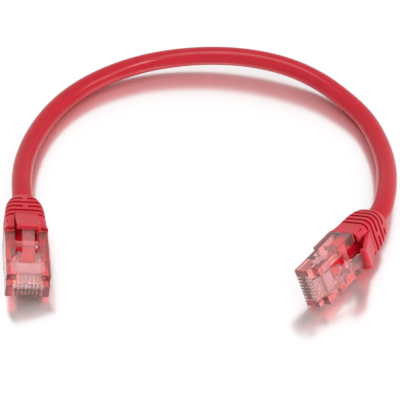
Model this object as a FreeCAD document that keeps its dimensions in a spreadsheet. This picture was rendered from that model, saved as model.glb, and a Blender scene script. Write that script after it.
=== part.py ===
import FreeCAD, Part
import math
import os
import types

import Sketcher
from FreeCAD import Placement, Rotation, Vector

# An ethernet patch cable: a red round cable with a clear eight-contact modular plug and a red boot at
# each end. Millimetres and degrees. +Z is up and the cable lies on z = 0, with the plugs towards -Y and
# the loop towards +Y. Each end is built in its own frame: X across the plug, Y from the nose to the rear,
# Z from the contact side to the latch side, with the origin at the middle of the nose's contact-side edge.

SIZES = [
    ("plug_width", 11.68, "width of the plug's clear housing"),
    ("nose_height", 6.6, "height of the housing's nose, contact side to latch side"),
    ("nose_length", 10.6, "length of the nose, up to the step on the contact side"),
    ("front_high", 4.4, "height of the nose's front block, in front of the rails"),
    ("rail_front", 2.0, "where the rails beside the latch start"),
    ("pit_rear", 3.8, "rear of the pit behind the latch's root"),
    ("rear_step", 1.2, "how far the housing's rear stands out on the contact side"),
    ("housing_length", 21.5, "whole length of the clear housing"),
    ("edge_round", 0.35, "rounding of the housing's long edges and nose edges"),
    ("collar_inset", 0.6, "how far the housing's rear collar is set in, all round"),
    ("channel_width", 6.7, "width of the open channel under the latch"),
    ("channel_floor", 5.15, "height of the channel's floor above the contact side"),
    ("window_front", 7.4, "where the channel opens through to the jacket"),
    ("window_width", 6.0, "width of that opening"),
    ("cavity_front", 11.4, "front of the space for the round jacket"),
    ("chamber_width", 9.0, "width of the space where the wires fan out"),
    ("chamber_low", 0.7, "bottom of the space where the wires fan out"),
    ("chamber_high", 4.6, "top of the space where the wires fan out"),
    ("bar_near", 13.2, "front of the crimped cross bar"),
    ("bar_depth", 1.6, "length of the cross bar along the cable"),
    ("bar_low", 5.1, "underside of the cross bar"),
    ("bar_thick", 0.8, "thickness of the cross bar"),
    ("bar_hold", 0.3, "how far each end of the cross bar runs into the channel's side"),
    ("slot_width", 0.5, "width of each contact slot"),
    ("slot_height", 2.2, "height of the contact slots in the nose"),
    ("slot_length", 6.4, "length of the contact slots"),
    ("pitch", 1.02, "distance from one contact to the next"),
    ("front_wall", 0.6, "thickness of the wall in front of the wires"),
    ("peep_hole", 0.7, "diameter of the holes in front of the wires"),
    ("lane_height", 3.4, "height of the row of wires above the contact side"),
    ("wire_gap", 0.04, "clearance around wires, load bar and jacket"),
    ("wire_width", 0.9, "diameter of an insulated wire"),
    ("copper_width", 0.5, "diameter of a bare conductor"),
    ("comb_front", 4.6, "front of the load bar"),
    ("comb_length", 3.0, "length of the load bar"),
    ("comb_width", 8.8, "width of the load bar"),
    ("comb_low", 2.3, "underside of the load bar"),
    ("blade_thick", 0.35, "thickness of a contact blade"),
    ("blade_front", 0.8, "front of a contact blade"),
    ("blade_length", 5.2, "length of a contact blade"),
    ("blade_recess", 0.25, "how deep the blade's edge lies in its slot"),
    ("blade_top", 2.1, "top of the blade's body"),
    ("prong_length", 0.6, "length of one piercing prong"),
    ("prong_space", 1.7, "distance from one prong to the next"),
    ("latch_axis_back", 0.75, "latch bending line, behind the nose face"),
    ("latch_axis_high", 4.9, "latch bending line, above the contact side"),
    ("latch_root", 0.45, "radius of the latch's rolled root"),
    ("latch_width", 6.2, "width of the latch's wide part"),
    ("latch_thick", 0.9, "thickness of the latch's wide part"),
    ("shoulder_back", 8.36, "latch shoulders, behind the nose face"),
    ("shoulder_high", 8.5, "top of the latch shoulders above the contact side"),
    ("tail_width", 3.25, "width of the latch's tail"),
    ("tail_front", 6.2, "front of the tail's raised bar"),
    ("tail_nose", 8.05, "top of the tail's front above the contact side"),
    ("tail_end", 15.6, "rear end of the tail"),
    ("tail_high", 10.1, "top of the tail's rear end above the contact side"),
    ("tail_thick", 0.9, "thickness of the tail"),
    ("tail_round", 0.4, "bevel of the tail's front end"),
    ("jacket_width", 5.9, "outer diameter of the cable"),
    ("jacket_wall", 0.55, "wall of the cable's jacket"),
    ("cable_high", 2.5, "cable's centre line above the contact side, in the plug"),
    ("jacket_tongue", 7.7, "front of the jacket's upper lip, in the plug"),
    ("jacket_stop", 14.0, "front of the jacket's underside, in the plug"),
    ("cable_joint", 27.5, "where the cable's free length starts, inside the boot"),
    ("cable_lead", 8.0, "the free length's straight start, out of the boot"),
    ("fan_rear", 12.4, "where the wires start to fan out"),
    ("fan_front", 9.6, "where the wires lie side by side"),
    ("wire_front", 0.8, "front ends of the wires"),
    ("cross_thick", 0.4, "thickness of the pair separator's arms"),
    ("pair_out", 1.64, "upper and lower pairs' distance from the cable's centre"),
    ("side_in", 1.0, "inner wire of the side pairs, from the cable's centre"),
    ("pair_space", 0.92, "distance between the two wires of a pair"),
    ("boot_front", 18.3, "front edge of the boot"),
    ("boot_middle", 24.0, "where the boot's grip starts"),
    ("boot_grip", 30.6, "where the boot starts to close on the cable"),
    ("boot_end", 33.0, "rear end of the boot"),
    ("boot_lip", 0.05, "how far the boot's front stands out beside the housing"),
    ("boot_drop", 0.25, "how far the boot's front stands out below the housing"),
    ("boot_top", 8.0, "top of the boot's front above the contact side"),
    ("boot_wall", 0.7, "wall of the boot's front over the gap above the housing"),
    ("middle_half", 5.5, "half the boot's width at the grip's start"),
    ("middle_drop", 1.75, "boot's underside below the contact side there"),
    ("middle_top", 7.5, "top of the boot there"),
    ("grip_half", 4.65, "half the boot's width at the grip's end"),
    ("grip_drop", 2.2, "boot's underside below the contact side there"),
    ("grip_top", 6.7, "top of the boot there"),
    ("end_half", 3.45, "half the boot's width at its rear end, and its height above the cable's centre"),
    ("end_drop", 2.3, "boot's underside below the contact side at its rear end"),
    ("front_round", 1.2, "corner radius of the boot's front"),
    ("middle_round", 1.9, "corner radius of the boot at the grip's start"),
    ("grip_round", 2.6, "corner radius of the boot at the grip's end"),
    ("end_round", 3.0, "corner radius of the boot's rear end"),
    ("groove_first", 23.5, "middle of the front groove"),
    ("groove_space", 1.78, "distance from one groove to the next"),
    ("groove_width", 0.8, "width of a groove"),
    ("groove_depth", 0.75, "depth of a groove"),
    ("groove_drop", 1.0, "lower ends of the grooves below the contact side"),
    ("bridge_half", 0.65, "half the bridge that splits a groove"),
    ("notch_rear", 21.6, "rear of the opening under the hood"),
    ("notch_low", 5.9, "bottom of the opening under the hood"),
    ("notch_gap", 0.3, "clearance beside the hood in that opening"),
    ("hood_axis_back", 23.2, "hood bending line, behind the nose face"),
    ("hood_axis_high", 7.0, "hood bending line, above the contact side"),
    ("hood_root", 0.9, "radius of the hood's rolled root"),
    ("hood_width", 6.2, "width of the hood"),
    ("hood_front", 15.0, "front of the hood"),
    ("hood_top", 12.1, "top of the hood's front above the contact side"),
    ("hood_low", 10.3, "bottom of the hood's front lip above the contact side"),
    ("hood_lip", 1.0, "thickness of the front lip"),
    ("hood_under", 10.8, "underside of the hood at its lip above the contact side"),
    ("hood_nose", 0.5, "bevel of the hood's front edge"),
    ("hood_round", 0.4, "rounding of the hood's side edges"),
    ("play", 0.12, "clearance around the latch root and the hood root"),
    ("a_across", -44.14, "plug a: place of the nose across"),
    ("a_back", -14.62, "plug a: place of the nose front to back"),
    ("a_turn", -8.2, "plug a: turned to the side"),
    ("a_pitch", 1.0, "plug a: rear lifted"),
    ("a_roll", 12.0, "plug a: rolled about its length"),
    ("b_across", 28.21, "plug b: place of the nose across"),
    ("b_back", -14.82, "plug b: place of the nose front to back"),
    ("b_turn", 38.15, "plug b: turned to the side"),
    ("b_pitch", -0.66, "plug b: rear lifted"),
    ("b_roll", 63.87, "plug b: rolled about its length"),
]

# The free cable's route, by hand, between the straight starts that the boots set.
ROUTE = [
    Vector(-49.98, 29.05, 4.4),
    Vector(-50.13, 39.05, 3.5),
    Vector(-48.13, 50.05, 3),
    Vector(-43.73, 61.35, 2.95),
    Vector(-37.03, 70.65, 3.2),
    Vector(-28.43, 77.85, 3.6),
    Vector(-17.73, 83.25, 4.2),
    Vector(-5.73, 86, 4.8),
    Vector(6.67, 86.5, 5.3),
    Vector(18.77, 84.65, 5.6),
    Vector(30.25, 80.35, 5.5),
    Vector(39.9, 74, 4.6),
    Vector(47.27, 65.65, 3.7),
    Vector(52.57, 57.65, 3.1),
    Vector(55.37, 48.05, 3.1),
    Vector(56.57, 38.05, 3.7),
    Vector(55.97, 28.55, 4.9),
    Vector(54.37, 19.65, 6.1),
]
ARC_SHARE = 0.45

# Two directions or places nearer than this are the same.
PARALLEL = 0.001

# Where the hood's top meets its rolled root, back and up, in root radii.
LEAN = (0.5, 0.866)

# Pairs by the lanes that their two wires lie in, counted across the plug from 0.
PAIRS = {"orange": (0, 1), "green": (2, 5), "blue": (3, 4), "brown": (6, 7)}
LANES = 8
GROOVES = 5


class Size:
    """A number together with the spreadsheet expression that gives it."""

    def __init__(self, text, number):
        self.text = text
        self.number = number

    def __float__(self):
        return float(self.number)

    def __add__(self, other):
        other = as_size(other)
        return Size(f"({self.text} + {other.text})", self.number + other.number)

    def __sub__(self, other):
        other = as_size(other)
        return Size(f"({self.text} - {other.text})", self.number - other.number)

    def __mul__(self, other):
        other = as_size(other)
        return Size(f"({self.text} * {other.text})", self.number * other.number)

    def __truediv__(self, other):
        other = as_size(other)
        return Size(f"({self.text} / {other.text})", self.number / other.number)

    def __neg__(self):
        return Size(f"(0 - {self.text})", -self.number)


def as_size(value):
    """A plain number as a size."""
    if isinstance(value, Size):
        return value
    return Size(f"({value})", value)


doc = FreeCAD.newDocument("ethernet_patch_cable")
sheet = doc.addObject("Spreadsheet::Sheet", "Sizes")
for row, (alias, number, note) in enumerate(SIZES, start=1):
    sheet.set(f"A{row}", note)
    sheet.set(f"B{row}", str(number))
    sheet.setAlias(f"B{row}", alias)
doc.recompute()
size = types.SimpleNamespace(
    **{alias: Size(f"Sizes.{alias}", float(sheet.get(alias))) for alias, _, _ in SIZES}
)
PLACES = {
    "a": (size.a_across, size.a_back, size.a_turn, size.a_pitch, size.a_roll),
    "b": (size.b_across, size.b_back, size.b_turn, size.b_pitch, size.b_roll),
}
nodes = []


def node(name, part, place=None):
    """Names a finished sub-part and puts it in its place."""
    part.Label = name
    if place is not None:
        part.Placement = place
    nodes.append(part)
    return part


def block(name, across, along, up):
    """A box between two sizes on each axis."""
    box = doc.addObject("Part::Box", name)
    spans = (("Length", "x", across), ("Width", "y", along), ("Height", "z", up))
    for side, axis, (low, high) in spans:
        low = as_size(low)
        high = as_size(high)
        box.setExpression(side, (high - low).text)
        box.setExpression(f"Placement.Base.{axis}", low.text)
    return box


def centred(width):
    """The two sides of something centred on the plug's middle plane."""
    return (-(width / 2), width / 2)


def rod(name, radius, along, across, up):
    """A cylinder along the plug."""
    cylinder = doc.addObject("Part::Cylinder", name)
    low, high = (as_size(end) for end in along)
    cylinder.setExpression("Radius", radius.text)
    cylinder.setExpression("Height", (high - low).text)
    cylinder.Placement.Rotation = Rotation(Vector(1, 0, 0), -90)
    cylinder.setExpression("Placement.Base.x", as_size(across).text)
    cylinder.setExpression("Placement.Base.y", low.text)
    cylinder.setExpression("Placement.Base.z", as_size(up).text)
    return cylinder


def pin(name, radius, width, back, up):
    """A cylinder across the plug, centred on its middle plane."""
    cylinder = doc.addObject("Part::Cylinder", name)
    cylinder.setExpression("Radius", radius.text)
    cylinder.setExpression("Height", width.text)
    cylinder.Placement.Rotation = Rotation(Vector(0, 1, 0), 90)
    cylinder.setExpression("Placement.Base.x", (-(width / 2)).text)
    cylinder.setExpression("Placement.Base.y", back.text)
    cylinder.setExpression("Placement.Base.z", up.text)
    return cylinder


def joined(name, parts):
    """The parts fused into one."""
    fuse = doc.addObject("Part::MultiFuse", name)
    fuse.Shapes = parts
    fuse.Refine = True
    return fuse


def without(name, base, tool):
    """The base with the tool cut away."""
    cut = doc.addObject("Part::Cut", name)
    cut.Base = base
    cut.Tool = tool
    return cut


def fixed(name, shape, place=None):
    """A sub-part whose shape is made directly."""
    part = doc.addObject("Part::Feature", name)
    part.Shape = shape
    return node(name, part, place)


def sketch_on(body, name, role, offset=None):
    """An empty sketch on one of the body's own planes."""
    sketch = body.newObject("Sketcher::SketchObject", name)
    plane = [item for item in body.Origin.OriginFeatures if item.Role == role][0]
    sketch.AttachmentSupport = [(plane, "")]
    sketch.MapMode = "FlatFace"
    if offset is not None:
        sketch.setExpression("AttachmentOffset.Base.z", offset.text)
    return sketch


def hold(sketch, item, point, axis, distance):
    """Holds a sketch point at a signed distance from the sketch's origin."""
    ends = (-1, 1, item, point)
    if float(distance) < 0:
        ends = (item, point, -1, 1)
        distance = -distance
    rule = Sketcher.Constraint(f"Distance{axis}", *ends, float(distance))
    number = sketch.addConstraint(rule)
    sketch.setExpression(f"Constraints[{number}]", distance.text)


def outline(sketch, corners):
    """A closed outline of straight lines, each corner held by its two sizes."""
    corners = [(as_size(across), as_size(up)) for across, up in corners]
    points = [Vector(float(across), float(up), 0) for across, up in corners]
    last = len(points) - 1
    for start, point in enumerate(points):
        sketch.addGeometry(Part.LineSegment(point, points[start + 1 if start < last else 0]))
    for start, (across, up) in enumerate(corners):
        before = start - 1 if start else last
        sketch.addConstraint(Sketcher.Constraint("Coincident", before, 2, start, 1))
        hold(sketch, start, 1, "X", across)
        hold(sketch, start, 1, "Y", up)


def ring(sketch, across, up, radius):
    """A circle held by its centre and radius."""
    circle = Part.Circle(Vector(float(across), float(up), 0), Vector(0, 0, 1), float(radius))
    item = sketch.addGeometry(circle)
    hold(sketch, item, 3, "X", across)
    hold(sketch, item, 3, "Y", up)
    number = sketch.addConstraint(Sketcher.Constraint("Radius", item, float(radius)))
    sketch.setExpression(f"Constraints[{number}]", radius.text)


def rounded_outline(sketch, half, low, high, radius):
    """A rectangle with round corners, centred across, from low to high."""
    centres = []
    for side, end in ((-1, low), (1, low), (1, high), (-1, high)):
        across = (half - radius) * side
        up = end + radius if end is low else end - radius
        centres.append((across, up))
    corners = [Vector(float(across), float(up), 0) for across, up in centres]
    turn = float(radius)
    quarter = math.pi / 2
    for corner, first in zip(corners, (2 * quarter, 3 * quarter, 0, quarter)):
        circle = Part.Circle(corner, Vector(0, 0, 1), turn)
        sketch.addGeometry(Part.ArcOfCircle(circle, first, first + quarter))
    for start in range(4):
        leave = sketch.Geometry[start].EndPoint
        reach = sketch.Geometry[(start + 1) % 4].StartPoint
        sketch.addGeometry(Part.LineSegment(leave, reach))
    for start in range(4):
        line = start + 4
        sketch.addConstraint(Sketcher.Constraint("Tangent", start, 2, line, 1))
        sketch.addConstraint(Sketcher.Constraint("Tangent", line, 2, (start + 1) % 4, 1))
        level = "Horizontal" if start % 2 == 0 else "Vertical"
        sketch.addConstraint(Sketcher.Constraint(level, line))
    number = sketch.addConstraint(Sketcher.Constraint("Radius", 0, turn))
    sketch.setExpression(f"Constraints[{number}]", radius.text)
    hold(sketch, 0, 3, "X", centres[0][0])
    hold(sketch, 0, 3, "Y", centres[0][1])
    hold(sketch, 2, 3, "X", centres[2][0])
    hold(sketch, 2, 3, "Y", centres[2][1])


def pad(body, sketch, name, width):
    """Pads a sketch evenly to both sides."""
    feature = body.newObject("PartDesign::Pad", name)
    feature.Profile = sketch
    feature.SideType = "Symmetric"
    feature.setExpression("Length", width.text)
    return feature


def lane_across(lane):
    """How far a lane lies across the plug."""
    return size.pitch * (lane - (LANES - 1) / 2)


def softened(name, form, radius, chosen):
    """The form with the chosen edges rounded."""
    fillet = doc.addObject("Part::Fillet", name)
    fillet.Base = form
    reach = float(radius)
    edges = enumerate(form.Shape.Edges, start=1)
    fillet.Edges = [(number, reach, reach) for number, edge in edges if chosen(edge)]
    return fillet


def runs_along(edge):
    """True for an edge that runs from nose to rear."""
    return abs(edge.tangentAt(edge.FirstParameter).y) > 1 - PARALLEL


def on_nose_edge(edge):
    """True for the front block's long edges and the edges of the nose's face."""
    return runs_along(edge) or edge.CenterOfMass.y < PARALLEL


def housing(end, place):
    """The clear moulded housing, with everything that is open in it."""
    across = centred(size.plug_width)
    front = block("front", across, (0, size.rail_front + 1), (0, size.front_high))
    nose = block("nose", across, (size.rail_front, size.nose_length + 1), (0, size.nose_height))
    along = (size.nose_length, size.boot_front)
    rear = block("rear", across, along, (-size.rear_step, size.nose_height))
    doc.recompute()
    solids = [
        softened("soft_front", front, size.edge_round, on_nose_edge),
        softened("soft_nose", nose, size.edge_round, runs_along),
        softened("soft_rear", rear, size.edge_round, runs_along),
    ]
    inset = size.collar_inset
    collar = block(
        "collar",
        centred(size.plug_width - inset * 2),
        (size.nose_length, size.housing_length),
        (inset - size.rear_step, size.nose_height - inset),
    )
    body = joined("solid_housing", solids + [collar])
    open_housing = without("open_housing", body, joined("openings", housing_openings()))
    bar_along = (size.bar_near, size.bar_near + size.bar_depth)
    bar_up = (size.bar_low, size.bar_low + size.bar_thick)
    bar = block("bar", centred(size.channel_width + size.bar_hold * 2), bar_along, bar_up)
    return node(f"plug_housing_{end}", joined("plug_housing", [open_housing, bar]), place)


def housing_openings():
    """Channel, window, cable and wire spaces, contact slots and front holes."""
    far = size.housing_length + 1
    over = size.nose_height + 1
    bore = size.jacket_width / 2 + size.wire_gap
    lane_half = size.wire_width / 2 + size.wire_gap
    lanes_wide = size.pitch * (LANES - 1) + lane_half * 2
    comb_rear = size.comb_front + size.comb_length
    comb_wide = size.comb_width + size.wire_gap * 2
    bore_wide = (-bore, bore)
    chamber = centred(size.chamber_width)
    wire_up = (size.lane_height - lane_half, size.lane_height + lane_half)
    comb_up = (size.comb_low - size.wire_gap, size.chamber_high)
    window_up = (size.chamber_high - 1, size.channel_floor + 1)
    openings = [
        block("channel", centred(size.channel_width), (-1, far), (size.channel_floor, over)),
        block("pit", centred(size.channel_width), (size.rail_front, size.pit_rear), (size.front_high, over)),
        block("cavity", bore_wide, (size.cavity_front, far), (size.cable_high - bore, size.cable_high + bore)),
        block("chamber", chamber, (comb_rear, size.cavity_front + 1), (size.chamber_low, size.chamber_high)),
        block("window", centred(size.window_width), (size.window_front, far), window_up),
        block("comb_seat", centred(comb_wide), (size.comb_front - size.wire_gap, comb_rear + 1), comb_up),
        block("lanes", centred(lanes_wide), (size.front_wall, size.comb_front + 1), wire_up),
    ]
    prongs = (size.blade_front, size.comb_front - size.slot_width)
    for lane in range(LANES):
        middle = lane_across(lane)
        sides = (middle - size.slot_width / 2, middle + size.slot_width / 2)
        openings.append(block("slot", sides, (-1, size.slot_length), (-size.slot_height, size.slot_height)))
        openings.append(block("slit", sides, prongs, (size.slot_height / 2, size.lane_height)))
        openings.append(rod("peep", size.peep_hole / 2, (-1, size.front_wall * 2), middle, size.lane_height))
    return openings


def latch(end, place):
    """The spring latch: rolled root at the nose, wide part up to the shoulders, and the tail on it."""
    body = doc.addObject("PartDesign::Body", "latch")
    back = size.latch_axis_back
    high = size.latch_axis_high
    root = sketch_on(body, "root_outline", "YZ_Plane")
    ring(root, back, high, size.latch_root)
    pad(body, root, "root", size.latch_width)
    wide = sketch_on(body, "wide_outline", "YZ_Plane")
    outline(
        wide,
        [
            (back, high - size.latch_root / 2),
            (size.shoulder_back, size.shoulder_high - size.latch_thick),
            (size.shoulder_back, size.shoulder_high),
            (back, high + size.latch_root),
        ],
    )
    pad(body, wide, "wide", size.latch_width)
    tail = sketch_on(body, "tail_outline", "YZ_Plane")
    outline(
        tail,
        [
            (size.tail_front, size.tail_nose - size.tail_thick),
            (size.tail_end, size.tail_high - size.tail_thick),
            (size.tail_end, size.tail_high),
            (size.tail_front + size.tail_round, size.tail_nose),
            (size.tail_front, size.tail_nose - size.tail_round),
        ],
    )
    pad(body, tail, "tail", size.tail_width)
    return node(f"latch_{end}", body, place)


def contacts(end, place):
    """Eight blades with two prongs each, one beside each other."""
    body = doc.addObject("PartDesign::Body", "contacts")
    body.AllowCompound = True
    front = size.blade_front
    prong_top = size.lane_height - size.copper_width / 2
    first = front + size.prong_length
    second = first + size.prong_space
    sketch = sketch_on(body, "blade_outline", "YZ_Plane", lane_across(0))
    outline(
        sketch,
        [
            (front, size.blade_recess),
            (front + size.blade_length, size.blade_recess),
            (front + size.blade_length, size.blade_top),
            (second + size.prong_length, size.blade_top),
            (second + size.prong_length / 2, prong_top),
            (second, size.blade_top),
            (first + size.prong_length, size.blade_top),
            (first + size.prong_length / 2, prong_top),
            (first, size.blade_top),
            (front, size.blade_top),
        ],
    )
    blade = pad(body, sketch, "blade", size.blade_thick)
    doc.recompute()
    row = body.newObject("PartDesign::LinearPattern", "blades")
    row.Originals = [blade]
    plane = [item for item in body.Origin.OriginFeatures if item.Role == "X_Axis"][0]
    row.Direction = (plane, [""])
    row.setExpression("Length", (size.pitch * (LANES - 1)).text)
    row.Occurrences = LANES
    body.Tip = row
    return node(f"contacts_{end}", body, place)


def load_bar(end, place):
    """The comb that keeps the wires in order."""
    comb_rear = size.comb_front + size.comb_length
    up = (size.comb_low, size.chamber_high - size.wire_gap)
    solid = block("comb", centred(size.comb_width), (size.comb_front, comb_rear), up)
    radius = size.wire_width / 2 + size.wire_gap
    through = (size.comb_front - 1, comb_rear + 1)
    holes = [rod("comb_hole", radius, through, lane_across(lane), size.lane_height) for lane in range(LANES)]
    return node(f"load_bar_{end}", without("load_bar", solid, joined("comb_holes", holes)), place)


def boot_form(name, inset):
    """The boot's outer form, or the same form set in by a depth."""
    body = doc.addObject("PartDesign::Body", name)
    lip = size.plug_width / 2 + size.boot_lip
    front_low = -size.rear_step - size.boot_drop
    end_high = size.cable_high + size.end_half
    stations = [
        (size.boot_front, lip, front_low, size.boot_top, size.front_round),
        (size.boot_middle, size.middle_half, -size.middle_drop, size.middle_top, size.middle_round),
        (size.boot_grip, size.grip_half, -size.grip_drop, size.grip_top, size.grip_round),
        (size.boot_end, size.end_half, -size.end_drop, end_high, size.end_round),
    ]
    sketches = []
    for number, (along, half, low, high, radius) in enumerate(stations):
        sketch = sketch_on(body, f"{name}_section_{number}", "XZ_Plane", -along)
        rounded_outline(sketch, half - inset, low + inset, high - inset, radius - inset / 2)
        sketches.append(sketch)
    doc.recompute()
    loft = body.newObject("PartDesign::AdditiveLoft", f"{name}_loft")
    loft.Profile = sketches[0]
    loft.Sections = sketches[1:]
    return body


def boot_grooves():
    """The slabs of the grooves: every second one split by a bridge, the front one by the hood."""
    wide = size.plug_width
    slabs = []
    for number in range(GROOVES):
        middle = size.groove_first + size.groove_space * number
        along = (middle - size.groove_width / 2, middle + size.groove_width / 2)
        bridge = size.bridge_half
        if number == 0:
            bridge = size.hood_width / 2 + size.notch_gap
        sides = [(-wide, wide)]
        if number % 2 == 0:
            sides = [(-wide, -bridge), (bridge, wide)]
        for across in sides:
            slabs.append(block("groove", across, along, (-size.groove_drop, size.boot_top * 2)))
    return slabs


def boot(end, place):
    """The moulded boot: grooves, the collar's seat with the gap above it, the opening under the hood."""
    form = boot_form("boot_form", as_size(0))
    core = boot_form("boot_core", size.groove_depth)
    seat = size.collar_inset - size.wire_gap
    over = size.boot_top * 2
    seat_wide = centred(size.plug_width - seat * 2)
    seat_along = (size.boot_front - 1, size.housing_length + size.wire_gap)
    bore = size.jacket_width / 2 + size.wire_gap
    notch_wide = centred(size.hood_width + size.notch_gap * 2)
    root = size.hood_root + size.play
    root_wide = size.hood_width + size.play * 2
    hood_way = (size.notch_rear, size.hood_axis_back)
    tools = [
        without("grooves", joined("groove_slabs", boot_grooves()), core),
        block("collar_seat", seat_wide, seat_along, (seat - size.rear_step, size.boot_top - size.boot_wall)),
        rod("cable_bore", bore, (size.boot_front, size.boot_end + 1), 0, size.cable_high),
        block("notch", notch_wide, (size.boot_front - 1, size.notch_rear), (size.notch_low, over)),
        pin("hood_seat", root, root_wide, size.hood_axis_back, size.hood_axis_high),
        block("hood_way", centred(root_wide), hood_way, (size.hood_axis_high - size.hood_root, over)),
    ]
    return node(f"boot_{end}", without("boot", form, joined("boot_tools", tools)), place)


def hood(end, place):
    """The flap over the latch's tail: a ramp with a front lip, on a rolled root."""
    back = size.hood_axis_back
    high = size.hood_axis_high
    body = doc.addObject("PartDesign::Body", "hood_ramp")
    side = sketch_on(body, "hood_outline", "YZ_Plane")
    outline(
        side,
        [
            (back - size.hood_root, high),
            (back, high),
            (back + size.hood_root * LEAN[0], high + size.hood_root * LEAN[1]),
            (size.hood_front + size.hood_nose, size.hood_top),
            (size.hood_front, size.hood_top - size.hood_nose),
            (size.hood_front, size.hood_low),
            (size.hood_front + size.hood_lip, size.hood_low),
            (size.hood_front + size.hood_lip, size.hood_under),
        ],
    )
    pad(body, side, "hood_pad", size.hood_width)
    doc.recompute()
    ramp = softened("hood_soft", body, size.hood_round, on_hood_side)
    root = pin("hood_root", size.hood_root, size.hood_width, back, high)
    return node(f"hood_{end}", joined("hood", [ramp, root]), place)


def on_hood_side(edge):
    """True for the two sides' edges along the hood's top and down its front."""
    middle = edge.CenterOfMass
    outside = abs(abs(middle.x) - float(size.hood_width) / 2) < PARALLEL
    on_front = abs(middle.y - float(size.hood_front)) < PARALLEL
    back = float(size.hood_axis_back)
    share = (back - middle.y) / (back - float(size.hood_front))
    ramp = float(size.hood_axis_high + size.hood_root) * (1 - share) + float(size.hood_top) * share
    on_top = middle.y < back and middle.z > ramp - float(size.hood_nose)
    return outside and (on_front or on_top)


class Run:
    """A straight stretch of a route."""

    def __init__(self, start, finish):
        self.start = start
        self.finish = finish

    def edge(self, offset):
        return Part.LineSegment(self.start + offset, self.finish + offset).toShape()

    def turned(self, offset):
        return offset

    def swept(self, face):
        return face.extrude(self.finish - self.start)

    def carried(self, face):
        return face.translated(self.finish - self.start)


class Bend:
    """An arc of a route, tangent to the runs beside it."""

    def __init__(self, start, centre, axis, turn):
        self.start = start
        self.centre = centre
        self.axis = axis
        self.turn = math.degrees(turn)
        self.radius = (start - centre).Length

    def at(self, share, offset):
        spin = Rotation(self.axis, self.turn * share)
        return self.centre + spin.multVec(self.start - self.centre + offset)

    def edge(self, offset):
        return Part.Arc(self.at(0, offset), self.at(0.5, offset), self.at(1, offset)).toShape()

    def turned(self, offset):
        return Rotation(self.axis, self.turn).multVec(offset)

    def swept(self, face):
        return face.revolve(self.centre, self.axis, self.turn)

    def carried(self, face):
        return face.rotated(self.centre, self.axis, self.turn)


def rounded_route(points):
    """Straight runs joined by tangent arcs, each as large as its two runs allow."""
    stretches = []
    start = points[0]
    for before, corner, after in zip(points, points[1:], points[2:]):
        inward = corner - before
        outward = after - corner
        turn = inward.getAngle(outward)
        if turn < PARALLEL:
            continue
        reach = ARC_SHARE * min(inward.Length, outward.Length)
        radius = reach / math.tan(turn / 2)
        axis = inward.cross(outward).normalize()
        entry = corner - inward.normalize() * reach
        stretches.append(Run(start, entry))
        stretches.append(Bend(entry, entry + axis.cross(inward) * radius, axis, turn))
        start = corner + outward.normalize() * reach
    stretches.append(Run(start, points[-1]))
    return stretches


def route_length(stretches):
    """The length along a route."""
    return sum(stretch.edge(Vector()).Length for stretch in stretches)


def tube(stretches, offset, outer, inner=0):
    """A round rod or tube that follows a route beside its centre line."""
    edges = []
    carried = offset
    for stretch in stretches:
        edges.append(stretch.edge(carried))
        carried = stretch.turned(carried)
    start = stretches[0].start + offset
    along = stretches[0].finish - stretches[0].start
    face = Part.Face(Part.Wire(Part.makeCircle(outer, start, along)))
    if inner:
        face = face.cut(Part.Face(Part.Wire(Part.makeCircle(inner, start, along))))
    return Part.Wire(edges).makePipe(face.Faces[0])


def solids_of(shape):
    """The separate solids of a shape, in one compound."""
    return Part.makeCompound(shape.Solids)


def wire_places():
    """Where each wire lies in the cable's section, across and up from the centre, by lane."""
    half = size.pair_space / 2
    outer = size.side_in + size.pair_space
    places = [
        (-outer, as_size(0)),
        (-size.side_in, as_size(0)),
        (-half, -size.pair_out),
        (-half, size.pair_out),
        (half, size.pair_out),
        (half, -size.pair_out),
        (size.side_in, as_size(0)),
        (outer, as_size(0)),
    ]
    return [(float(across), float(up)) for across, up in places]


def plug_wire(lane, twist):
    """The route of one wire inside a plug, from the cable's joint to its front end."""
    across, up = wire_places()[lane]
    centre = float(size.cable_high)
    joint = float(size.cable_joint)
    fan_rear = float(size.fan_rear)
    points = []
    for share in (1, 2 / 3, 1 / 3, 0):
        angle = math.radians(twist * share)
        turned_across = across * math.cos(angle) - up * math.sin(angle)
        turned_up = across * math.sin(angle) + up * math.cos(angle)
        along = fan_rear + (joint - fan_rear) * share
        points.append(Vector(turned_across, along, centre + turned_up))
    lane_x = float(lane_across(lane))
    lane_z = float(size.lane_height)
    points.append(Vector(lane_x, float(size.fan_front), lane_z))
    points.append(Vector(lane_x, float(size.wire_front), lane_z))
    return rounded_route(points)


def wire_ends(end, place, twist):
    """The insulated wire ends by pair, notched by the prongs, and their copper."""
    insulation = float(size.wire_width) / 2
    copper = float(size.copper_width) / 2
    prongs = [part for part in nodes if part.Label == f"contacts_{end}"][0].Shape.copy()
    prongs.Placement = Placement()
    cores = []
    for colour, lanes in PAIRS.items():
        wires = []
        for lane in lanes:
            route = plug_wire(lane, twist)
            wires.append(tube(route, Vector(), insulation, copper).cut(prongs))
            cores.append(tube(route, Vector(), copper))
        fixed(f"pair_{colour}_{end}", solids_of(Part.makeCompound(wires)), place)
    fixed(f"copper_ends_{end}", solids_of(Part.makeCompound(cores)), place)


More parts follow.
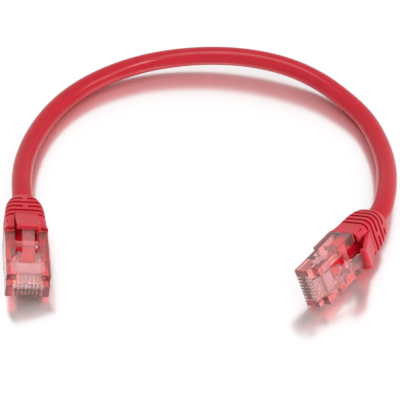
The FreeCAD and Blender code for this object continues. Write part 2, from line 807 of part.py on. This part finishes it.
def jacket_end(end, place):
    """The jacket's straight end, cut at a slant, dented by the cross bar."""
    outer = float(size.jacket_width) / 2
    inner = outer - float(size.jacket_wall)
    centre = Vector(0, float(size.jacket_tongue), float(size.cable_high))
    length = float(size.cable_joint) - centre.y
    along = Vector(0, 1, 0)
    hollow = Part.makeCylinder(inner, length, centre, along)
    sleeve = Part.makeCylinder(outer, length, centre, along).cut(hollow)
    far = float(size.plug_width)
    lanes_top = float(size.lane_height + size.wire_width / 2 + size.wire_gap)
    slant = [
        Vector(-far, float(size.jacket_stop), -far),
        Vector(-far, float(size.jacket_stop), lanes_top),
        Vector(-far, float(size.jacket_tongue), float(size.chamber_high)),
        Vector(-far, -far, float(size.chamber_high)),
        Vector(-far, -far, -far),
    ]
    wedge = Part.Face(Part.makePolygon(slant + slant[:1])).extrude(Vector(2 * far, 0, 0))
    gap = float(size.wire_gap)
    dent = Part.makeBox(
        2 * far,
        float(size.bar_depth) + 2 * gap,
        far,
        Vector(-far, float(size.bar_near) - gap, float(size.bar_low) - gap),
    )
    fixed(f"jacket_end_{end}", sleeve.cut(wedge).cut(dent), place)


def plug_place(end, lift):
    """Where a plug lies: turned, pitched and rolled, and lifted onto the surface."""
    across, back, turn, pitch, roll = (float(value) for value in PLACES[end])
    spin = Rotation(Vector(0, 0, 1), -turn)
    spin = spin.multiply(Rotation(Vector(1, 0, 0), pitch))
    spin = spin.multiply(Rotation(Vector(0, 1, 0), roll))
    return Placement(Vector(across, back, lift), spin)


def resting_lift(end, parts):
    """How high a plug's origin lies when its lowest point touches the surface."""
    lowest = []
    for part in parts:
        shape = part.Shape.copy()
        shape.Placement = plug_place(end, 0).multiply(shape.Placement)
        lowest.append(shape.optimalBoundingBox(False).ZMin)
    return -min(lowest)


def cable(places):
    """The free length: jacket, separator, eight wires and their copper, on one route."""
    joint = Vector(0, float(size.cable_joint), float(size.cable_high))
    lead = Vector(0, float(size.cable_joint + size.cable_lead), float(size.cable_high))
    points = [places["a"].multVec(joint), places["a"].multVec(lead)]
    points += ROUTE
    points += [places["b"].multVec(lead), places["b"].multVec(joint)]
    route = rounded_route(points)
    radii = [round(stretch.radius, 1) for stretch in route if isinstance(stretch, Bend)]
    length = route_length(route)
    print("cable radii", radii)
    print("cable runs", [round((after - before).Length, 1) for before, after in zip(points, points[1:])])
    outer = float(size.jacket_width) / 2
    inner = outer - float(size.jacket_wall)
    jacket = tube(route, Vector(), outer, inner)
    expected = math.pi * (outer**2 - inner**2) * length
    print("cable length", round(length, 1), "volume ratio", round(jacket.Volume / expected, 4))
    fixed("cable_jacket", jacket)

    spin = places["a"].Rotation
    reach = inner - float(size.wire_gap)
    half = float(size.cross_thick) / 2
    bar = Part.makePlane(2 * reach, 2 * half, Vector(-reach, -half, 0))
    other = bar.rotated(Vector(), Vector(0, 0, 1), 90)
    cross = bar.fuse(other).removeSplitter()
    cross = cross.rotated(Vector(), Vector(0, 0, 1), 45).rotated(Vector(), Vector(1, 0, 0), -90)
    cross.Placement = Placement(points[0], spin).multiply(cross.Placement)
    face = cross.Faces[0]
    spans = []
    for stretch in route:
        spans.append(stretch.swept(face))
        face = stretch.carried(face)
    fixed("pair_separator", spans[0].multiFuse(spans[1:]).removeSplitter())

    insulation = float(size.wire_width) / 2
    copper = float(size.copper_width) / 2
    cores = []
    for colour, lanes in PAIRS.items():
        wires = []
        for lane in lanes:
            across, up = wire_places()[lane]
            offset = spin.multVec(Vector(across, 0, up))
            wires.append(tube(route, offset, insulation, copper))
            cores.append(tube(route, offset, copper))
        fixed(f"cable_pair_{colour}", solids_of(Part.makeCompound(wires)))
    fixed("cable_copper", solids_of(Part.makeCompound(cores)))

    arrived = spin.multVec(Vector(0, 0, 1))
    for stretch in route:
        arrived = stretch.turned(arrived)
    local = places["b"].Rotation.inverted().multVec(arrived)
    return math.degrees(math.atan2(-local.x, local.z))


def joint_line(name, end, back, high):
    """Prints a bending line's middle and direction, in metres."""
    middle = places[end].multVec(Vector(0, float(back), float(high))) / 1000
    across = places[end].Rotation.multVec(Vector(1, 0, 0))
    print(name, end, [round(value, 6) for value in middle], [round(value, 6) for value in across])


places = {}
for end in ("a", "b"):
    shell = housing(end, Placement())
    sleeve = boot(end, Placement())
    doc.recompute()
    places[end] = plug_place(end, resting_lift(end, (shell, sleeve)))
    print("plug", end, places[end].Base)
    shell.Placement = places[end]
    sleeve.Placement = places[end]
    latch(end, places[end])
    contacts(end, places[end])
    load_bar(end, places[end])
    hood(end, places[end])
    jacket_end(end, places[end])
    joint_line("nose", end, 0, size.nose_height / 2)
    joint_line("latch", end, size.latch_axis_back, size.latch_axis_high)
    joint_line("hood", end, size.hood_axis_back, size.hood_axis_high)
twists = {"a": 0, "b": cable(places)}
doc.recompute()
for end in ("a", "b"):
    wire_ends(end, places[end], twists[end])
doc.recompute()

faulty = [item.Label for item in doc.Objects if "Invalid" in item.State or "Error" in item.State]
for part in nodes:
    if part.Shape.isNull() or not part.Shape.isValid() or not part.Shape.Solids:
        faulty.append(part.Label)
if faulty:
    raise RuntimeError(f"these are not sound: {faulty}")
os.makedirs("parts", exist_ok=True)
for part in nodes:
    part.Shape.exportStep(f"parts/{part.Label}.step")
    print(part.Label, len(part.Shape.Solids), "solids", round(part.Shape.Volume, 2), "mm3")
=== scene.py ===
import math

import bpy
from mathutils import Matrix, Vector


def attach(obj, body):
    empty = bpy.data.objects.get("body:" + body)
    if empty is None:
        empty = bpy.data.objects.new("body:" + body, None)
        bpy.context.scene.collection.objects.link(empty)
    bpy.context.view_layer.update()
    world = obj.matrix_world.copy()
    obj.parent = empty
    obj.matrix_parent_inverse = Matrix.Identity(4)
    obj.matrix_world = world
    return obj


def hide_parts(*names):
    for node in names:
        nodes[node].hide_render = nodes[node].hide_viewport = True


# The looks of a red ethernet patch cable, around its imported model. Metres and degrees, the cable's route in
# millimetres. +Z is up, and the cable lies on z = 0 with the plugs towards -Y and the loop towards +Y.
# Plug a is the left one, plug b the right.

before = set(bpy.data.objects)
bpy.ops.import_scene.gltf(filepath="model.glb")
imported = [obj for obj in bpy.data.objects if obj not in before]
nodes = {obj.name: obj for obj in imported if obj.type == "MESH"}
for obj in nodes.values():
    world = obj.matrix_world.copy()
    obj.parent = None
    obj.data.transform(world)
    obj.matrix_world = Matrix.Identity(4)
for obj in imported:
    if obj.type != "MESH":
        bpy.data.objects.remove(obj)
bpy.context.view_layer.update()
scene = bpy.context.scene
MM = 0.001
ENDS = ("a", "b")

# The camera: where it looks, how far it stands off, how high, its lens and the nearest thing it sees.
LOOK_AT = Vector((1.80, 24.60, 0.0)) * MM
CAMERA_DISTANCE = 348.0 * MM
CAMERA_RISE = 44.1
LENS_MM = 108.1
SENSOR_MM = 36.0
NEAREST_SEEN = 0.01

# The cable's free length: straight out of boot a, round the loop, and straight into boot b.
CABLE_WIDTH = 5.9 * MM
ROUTE = [
    (-47.541, 12.627, 5.062),
    (-48.682, 20.544, 5.202),
    (-49.98, 29.05, 4.4),
    (-50.13, 39.05, 3.5),
    (-48.13, 50.05, 3),
    (-43.73, 61.35, 2.95),
    (-37.03, 70.65, 3.2),
    (-28.43, 77.85, 3.6),
    (-17.73, 83.25, 4.2),
    (-5.73, 86, 4.8),
    (6.67, 86.5, 5.3),
    (18.77, 84.65, 5.6),
    (30.25, 80.35, 5.5),
    (39.9, 74, 4.6),
    (47.27, 65.65, 3.7),
    (52.57, 57.65, 3.1),
    (55.37, 48.05, 3.1),
    (56.57, 38.05, 3.7),
    (55.97, 28.55, 4.9),
    (54.37, 19.65, 6.1),
    (51.911, 11.719, 6.556),
    (46.969, 5.428, 6.648),
]

# How finely the cable is drawn: steps from point to point, and steps added round each half of it.
STEPS_ALONG = 12
STEPS_ROUND = 10

# The cable's own solids, which the smooth cable stands for.
PAIR_COLOURS = ("orange", "green", "blue", "brown")
CABLE_NODES = ["cable_jacket", "pair_separator", "cable_copper"]
CABLE_NODES += [f"cable_pair_{colour}" for colour in PAIR_COLOURS]

# Colours, linear.
RED_JACKET = (0.50, 0.004, 0.018)
RED_BOOT = (0.58, 0.010, 0.030)
CLEAR = (0.97, 0.86, 0.86)
CLEAR_DEPTH = (1.0, 0.02, 0.05)
COMB = (0.46, 0.46, 0.50)
# The contacts' gold is darker than gold itself: painted shade for the shadow down in the contact slots.
SLOT_SHADED_GOLD = (0.50, 0.33, 0.22)
COPPER = (0.82, 0.46, 0.32)
INSULATION = {
    "orange": (0.70, 0.48, 0.37),
    "green": (0.42, 0.54, 0.44),
    "blue": (0.42, 0.47, 0.58),
    "brown": (0.48, 0.38, 0.32),
}
WHITE = (1.0, 1.0, 1.0)
SHEET_WHITE = (0.94, 0.94, 0.94)

# Handling marks: how scratches are turned (in radians) and drawn out, and where in the noise a scratch or a
# smudge starts and is full.
SCRATCH_TURN = (0.3, 0.5, 0.8)
SCRATCH_STRETCH = (1, 0.06, 1)
SCRATCH_EDGE = (0.66, 0.72)
SMUDGE_EDGE = (0.45, 0.7)

# Each surface's darkest and lightest share of its colour, the roughness that wear adds, and small plastic
# pieces' relief.
VINYL_SHADES = (0.88, 1.1)
VINYL_WEAR = 0.12
PLASTIC_DARKEST = 0.9
PLASTIC_WEAR = 0.1
PLASTIC_RELIEF = 0.01 * MM
METAL_DARKEST = 0.8
METAL_WEAR = 0.15

# Clear plastic: its roughness where clean and where marked, the share of colour that marks leave it, how high
# its waves are, how much it lets through, how fast its red grows with depth and how dense its shadow is.
CLEAR_ROUGHNESS = (0.05, 0.14)
CLEAR_MARKED = 0.96
CLEAR_RELIEF = 0.02 * MM
CLEAR_THROUGH = 0.93
CLEAR_DENSITY = 220.0
CLEAR_SHADOW = 0.1

# The white sheet: its size, the roughness of its dull part and of its two mirrors, the soft mirror's share of
# the two, and their share of the whole.
SHEET_SIZE = 6
SHEET_ROUGHNESS = 0.9
MIRROR_ROUGHNESS = (0.2, 0.4)
SOFT_SHARE = 0.3
MIRROR_SHARE = 0.85

# The white surroundings, as a light and as they are seen.
WORLD_LIGHT = 0.6
WORLD_SEEN = 1.0

# Lamps: name, place, what it aims at, width, depth and watts.
LAMPS = [
    ("top_light", (-0.1, -0.02, 0.75), (0, 0.03, 0), 0.5, 0.3, 1.5),
    ("front_light", (0.25, -0.30, 0.60), (0, 0.03, 0), 0.12, 0.12, 1.0),
    ("side_light", (0.35, -0.12, 0.30), (0.02, 0.0, 0), 0.25, 0.15, 0.5),
]

# Places of a mix node's sockets, by what it mixes: its first and second input and its result.
MIX_SOCKETS = {"FLOAT": (2, 3, 0), "RGBA": (6, 7, 2)}


def place_camera():
    """The photograph's view: level from side to side, looking down at the loop."""
    data = bpy.data.cameras.new("camera")
    data.lens = LENS_MM
    data.sensor_width = SENSOR_MM
    data.clip_start = NEAREST_SEEN
    camera = bpy.data.objects.new("camera", data)
    rise = math.radians(CAMERA_RISE)
    away = Vector((0, -math.cos(rise), math.sin(rise))) * CAMERA_DISTANCE
    camera.location = LOOK_AT + away
    camera.rotation_euler = (math.pi / 2 - rise, 0, 0)
    scene.collection.objects.link(camera)
    scene.camera = camera


def make_cable():
    """The free cable, one smooth round line from boot to boot."""
    curve = bpy.data.curves.new("cable", "CURVE")
    curve.dimensions = "3D"
    spline = curve.splines.new("NURBS")
    spline.points.add(len(ROUTE) - 1)
    # The cable's box counts each point with its radius, so the radius is the true one and the bevel is 1.
    for point, place in zip(spline.points, ROUTE):
        point.co = (*(Vector(place) * MM), 1)
        point.radius = CABLE_WIDTH / 2
    curve.bevel_depth = 1.0
    spline.order_u = 3
    spline.use_endpoint_u = True
    spline.resolution_u = STEPS_ALONG
    curve.bevel_resolution = STEPS_ROUND
    curve.use_fill_caps = True
    cable = bpy.data.objects.new("cable", curve)
    scene.collection.objects.link(cable)
    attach(cable, "root")
    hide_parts(*CABLE_NODES)
    return cable


class Tree:
    """A node tree that is being built."""

    def __init__(self, tree):
        self.tree = tree

    def feed(self, socket, value):
        """Gives an input a plain value, or the output that it comes from."""
        if isinstance(value, bpy.types.NodeSocket):
            self.tree.links.new(value, socket)
        elif isinstance(value, tuple) and len(value) == 3 and socket.type == "RGBA":
            socket.default_value = (*value, 1)
        else:
            socket.default_value = value

    def add(self, kind, values=None, **settings):
        """A node with its settings, and values or sources for its inputs by name or by place."""
        item = self.tree.nodes.new(kind)
        for name, setting in settings.items():
            setattr(item, name, setting)
        for name, value in (values or {}).items():
            self.feed(item.inputs[name], value)
        return item

    def maths(self, operation, first, second):
        """The result of one operation on two numbers."""
        return self.add("ShaderNodeMath", {0: first, 1: second}, operation=operation).outputs["Value"]

    def noise(self, place, scale, detail):
        """Soft noise from 0 to 1."""
        item = self.add("ShaderNodeTexNoise", {"Vector": place, "Scale": scale, "Detail": detail})
        return item.outputs["Fac"]

    def between(self, mask, low, high):
        """A number that goes from low to high as the mask goes from 0 to 1."""
        item = self.add("ShaderNodeMapRange", {"Value": mask, "To Min": low, "To Max": high})
        return item.outputs["Result"]

    def over(self, value, edge):
        """A mask that goes from 0 to 1 as the value goes over an edge."""
        start, full = edge
        item = self.add("ShaderNodeMapRange", {"Value": value, "From Min": start, "From Max": full})
        return item.outputs["Result"]

    def mix(self, kind, mask, first, second):
        """A number or a colour that goes from the first to the second as the mask goes from 0 to 1."""
        first_place, second_place, result = MIX_SOCKETS[kind]
        values = {"Factor": mask, first_place: first, second_place: second}
        return self.add("ShaderNodeMix", values, data_type=kind).outputs[result]

    def blend(self, share, first, second):
        """A surface that is the second one by a share, and the first one for the rest."""
        return self.add("ShaderNodeMixShader", {"Fac": share, 1: first, 2: second}).outputs["Shader"]

    def bump(self, height, distance):
        """A normal raised by a height."""
        item = self.add("ShaderNodeBump", {"Height": height, "Distance": distance, "Strength": 1.0})
        return item.outputs["Normal"]

    def effect(self, group, values):
        """The outputs of a shared effect, with its own values."""
        return self.add("ShaderNodeGroup", values, node_tree=group).outputs

    def end_in(self, socket, source):
        """Gives the material's own output its surface or its volume."""
        self.feed(self.tree.nodes["Material Output"].inputs[socket], source)


def new_effect(name, inputs, outputs):
    """An empty shared effect with named inputs and outputs: its group, its tree and its two end nodes."""
    group = bpy.data.node_groups.new(name, "ShaderNodeTree")
    for socket, default in inputs.items():
        item = group.interface.new_socket(socket, in_out="INPUT", socket_type="NodeSocketFloat")
        item.default_value = default
    for socket in outputs:
        group.interface.new_socket(socket, in_out="OUTPUT", socket_type="NodeSocketFloat")
    tree = Tree(group)
    return group, tree, tree.add("NodeGroupInput").outputs, tree.add("NodeGroupOutput").inputs


def moulded_grain_effect():
    """Moulded or extruded plastic: a fine grain over slow waves, as a height and as a tone."""
    group, tree, given, made = new_effect(
        "moulded grain", {"Grain": 5000.0, "Waves": 350.0, "Wave share": 0.5}, ("Height", "Tone")
    )
    place = tree.add("ShaderNodeTexCoord").outputs["Object"]
    grain = tree.noise(place, given["Grain"], detail=3.0)
    waves = tree.noise(place, given["Waves"], detail=2.0)
    tree.feed(made["Height"], tree.mix("FLOAT", given["Wave share"], grain, waves))
    tree.feed(made["Tone"], waves)
    return group


def handling_effect():
    """Marks of handling: a few fine scratches and soft smudges, as a mask."""
    group, tree, given, made = new_effect(
        "handling marks", {"Scratches": 900.0, "Smudges": 120.0, "Amount": 0.5}, ("Mask",)
    )
    place = tree.add("ShaderNodeTexCoord").outputs["Object"]
    stretched = tree.add(
        "ShaderNodeMapping", {"Vector": place, "Rotation": SCRATCH_TURN, "Scale": SCRATCH_STRETCH}
    )
    lines = tree.noise(stretched.outputs["Vector"], given["Scratches"], detail=1.0)
    patches = tree.noise(place, given["Smudges"], detail=2.0)
    marks = tree.maths("MAXIMUM", tree.over(lines, SCRATCH_EDGE), tree.over(patches, SMUDGE_EDGE))
    tree.feed(made["Mask"], tree.maths("MULTIPLY", marks, given["Amount"]))
    return group


moulded_grain = moulded_grain_effect()
handling_marks = handling_effect()


def new_material(name):
    """A new material, its tree and its main shader."""
    material = bpy.data.materials.new(name)
    material.use_nodes = True
    return material, Tree(material.node_tree), material.node_tree.nodes["Principled BSDF"]


def set_shader(tree, shader, **values):
    """Values or sources for the shader's sockets, by socket name in snake case."""
    for name, value in values.items():
        tree.feed(shader.inputs[name.replace("_", " ").title().replace("Ior", "IOR")], value)


def shaded(colour, share):
    """The colour at a share of its strength."""
    return tuple(part * share for part in colour)


def vinyl(name, colour, roughness, shine, grain, relief):
    """Soft vinyl: slightly uneven red, a fine grain, and marks that dull it."""
    material, tree, shader = new_material(name)
    skin = tree.effect(moulded_grain, {"Grain": grain, "Waves": 260.0, "Wave share": 0.55})
    marks = tree.effect(handling_marks, {"Scratches": 1400.0, "Smudges": 160.0, "Amount": 0.6})["Mask"]
    darkest, lightest = (shaded(colour, share) for share in VINYL_SHADES)
    set_shader(
        tree,
        shader,
        base_color=tree.mix("RGBA", skin["Tone"], darkest, lightest),
        roughness=tree.between(marks, roughness, roughness + VINYL_WEAR),
        normal=tree.bump(skin["Height"], relief),
        ior=1.52,
        specular_ior_level=shine,
    )
    return material


def clear_plastic():
    """Clear polycarbonate, redder the thicker it is, with faint flow waves and fine marks."""
    material, tree, shader = new_material("clear_plastic")
    skin = tree.effect(moulded_grain, {"Grain": 3000.0, "Waves": 320.0, "Wave share": 0.85})
    marks = tree.effect(handling_marks, {"Scratches": 1800.0, "Smudges": 300.0, "Amount": 0.8})["Mask"]
    shadow = tree.add("ShaderNodeLightPath").outputs["Is Shadow Ray"]
    set_shader(
        tree,
        shader,
        base_color=tree.mix("RGBA", marks, CLEAR, shaded(CLEAR, CLEAR_MARKED)),
        roughness=tree.between(marks, *CLEAR_ROUGHNESS),
        normal=tree.bump(skin["Height"], CLEAR_RELIEF),
        ior=1.46,
        transmission_weight=CLEAR_THROUGH,
        alpha=tree.between(shadow, 1.0, CLEAR_SHADOW),
    )
    depth = tree.add("ShaderNodeVolumeAbsorption", {"Color": CLEAR_DEPTH, "Density": CLEAR_DENSITY})
    tree.end_in("Volume", depth.outputs["Volume"])
    return material


def hard_plastic(name, colour, roughness):
    """Small opaque plastic pieces: the wires' insulation and the comb."""
    material, tree, shader = new_material(name)
    skin = tree.effect(moulded_grain, {"Grain": 6000.0, "Waves": 900.0, "Wave share": 0.4})
    set_shader(
        tree,
        shader,
        base_color=tree.mix("RGBA", skin["Tone"], shaded(colour, PLASTIC_DARKEST), colour),
        roughness=tree.between(skin["Tone"], roughness, roughness + PLASTIC_WEAR),
        normal=tree.bump(skin["Height"], PLASTIC_RELIEF),
        ior=1.5,
    )
    return material


def bare_metal(name, colour, roughness):
    """Plated or drawn metal with fine marks."""
    material, tree, shader = new_material(name)
    marks = tree.effect(handling_marks, {"Scratches": 4000.0, "Smudges": 900.0, "Amount": 1.0})["Mask"]
    set_shader(
        tree,
        shader,
        base_color=tree.mix("RGBA", marks, colour, shaded(colour, METAL_DARKEST)),
        roughness=tree.between(marks, roughness, roughness + METAL_WEAR),
        metallic=1.0,
    )
    return material


def dress(cable):
    """Gives every piece its material."""
    jacket = vinyl("jacket_vinyl", RED_JACKET, roughness=0.17, shine=0.3, grain=7000.0, relief=0.02 * MM)
    boot = vinyl("boot_vinyl", RED_BOOT, roughness=0.40, shine=0.5, grain=5000.0, relief=0.04 * MM)
    clear = clear_plastic()
    finishes = {
        "plug_housing": clear,
        "latch": clear,
        "boot": boot,
        "hood": boot,
        "jacket_end": jacket,
        "contacts": bare_metal("contact_gold_slot_shade", SLOT_SHADED_GOLD, roughness=0.2),
        "copper_ends": bare_metal("wire_copper", COPPER, roughness=0.3),
        "load_bar": hard_plastic("comb_plastic", COMB, roughness=0.3),
    }
    for colour in PAIR_COLOURS:
        insulation = hard_plastic(f"insulation_{colour}", INSULATION[colour], roughness=0.35)
        finishes[f"pair_{colour}"] = insulation
    cable.data.materials.append(jacket)
    for piece, finish in finishes.items():
        for end in ENDS:
            nodes[f"{piece}_{end}"].material_slots[0].material = finish


def sheet_material():
    """A glossy white sheet that keeps the shadow and a soft reflection."""
    material, tree, shader = new_material("white_sheet")
    set_shader(tree, shader, base_color=SHEET_WHITE, roughness=SHEET_ROUGHNESS, specular_ior_level=0.0)
    clear_mirror, soft_mirror = (
        tree.add("ShaderNodeBsdfGlossy", {"Color": WHITE, "Roughness": roughness}).outputs["BSDF"]
        for roughness in MIRROR_ROUGHNESS
    )
    mirrors = tree.blend(SOFT_SHARE, clear_mirror, soft_mirror)
    tree.end_in("Surface", tree.blend(MIRROR_SHARE, shader.outputs["BSDF"], mirrors))
    return material


def make_floor():
    """A wide sheet below the cable."""
    bpy.ops.mesh.primitive_plane_add(size=SHEET_SIZE)
    floor = bpy.context.object
    floor.name = "floor"
    floor.data.materials.append(sheet_material())


def light_world():
    """Even white all round: full white where it is seen, mirrored or seen through, and softer as a light."""
    world = bpy.data.worlds.new("studio")
    world.use_nodes = True
    scene.world = world
    tree = Tree(world.node_tree)
    sky = world.node_tree.nodes["Background"]
    ray = tree.add("ShaderNodeLightPath").outputs
    mirrored = tree.maths("MAXIMUM", ray["Is Camera Ray"], ray["Is Glossy Ray"])
    shown = tree.maths("MAXIMUM", mirrored, ray["Is Transmission Ray"])
    tree.feed(sky.inputs["Color"], WHITE)
    tree.feed(sky.inputs["Strength"], tree.between(shown, WORLD_LIGHT, WORLD_SEEN))


def soft_box(name, place, aim, width, depth, watts):
    """A soft rectangular lamp."""
    data = bpy.data.lights.new(name, "AREA")
    data.shape = "RECTANGLE"
    data.size = width
    data.size_y = depth
    data.energy = watts
    lamp = bpy.data.objects.new(name, data)
    lamp.location = place
    lamp.rotation_euler = (Vector(aim) - Vector(place)).to_track_quat("-Z", "Y").to_euler()
    scene.collection.objects.link(lamp)


place_camera()
dress(make_cable())
make_floor()
light_world()
for lamp in LAMPS:
    soft_box(*lamp)
scene.view_settings.view_transform = "Standard"

bpy.context.view_layer.update()
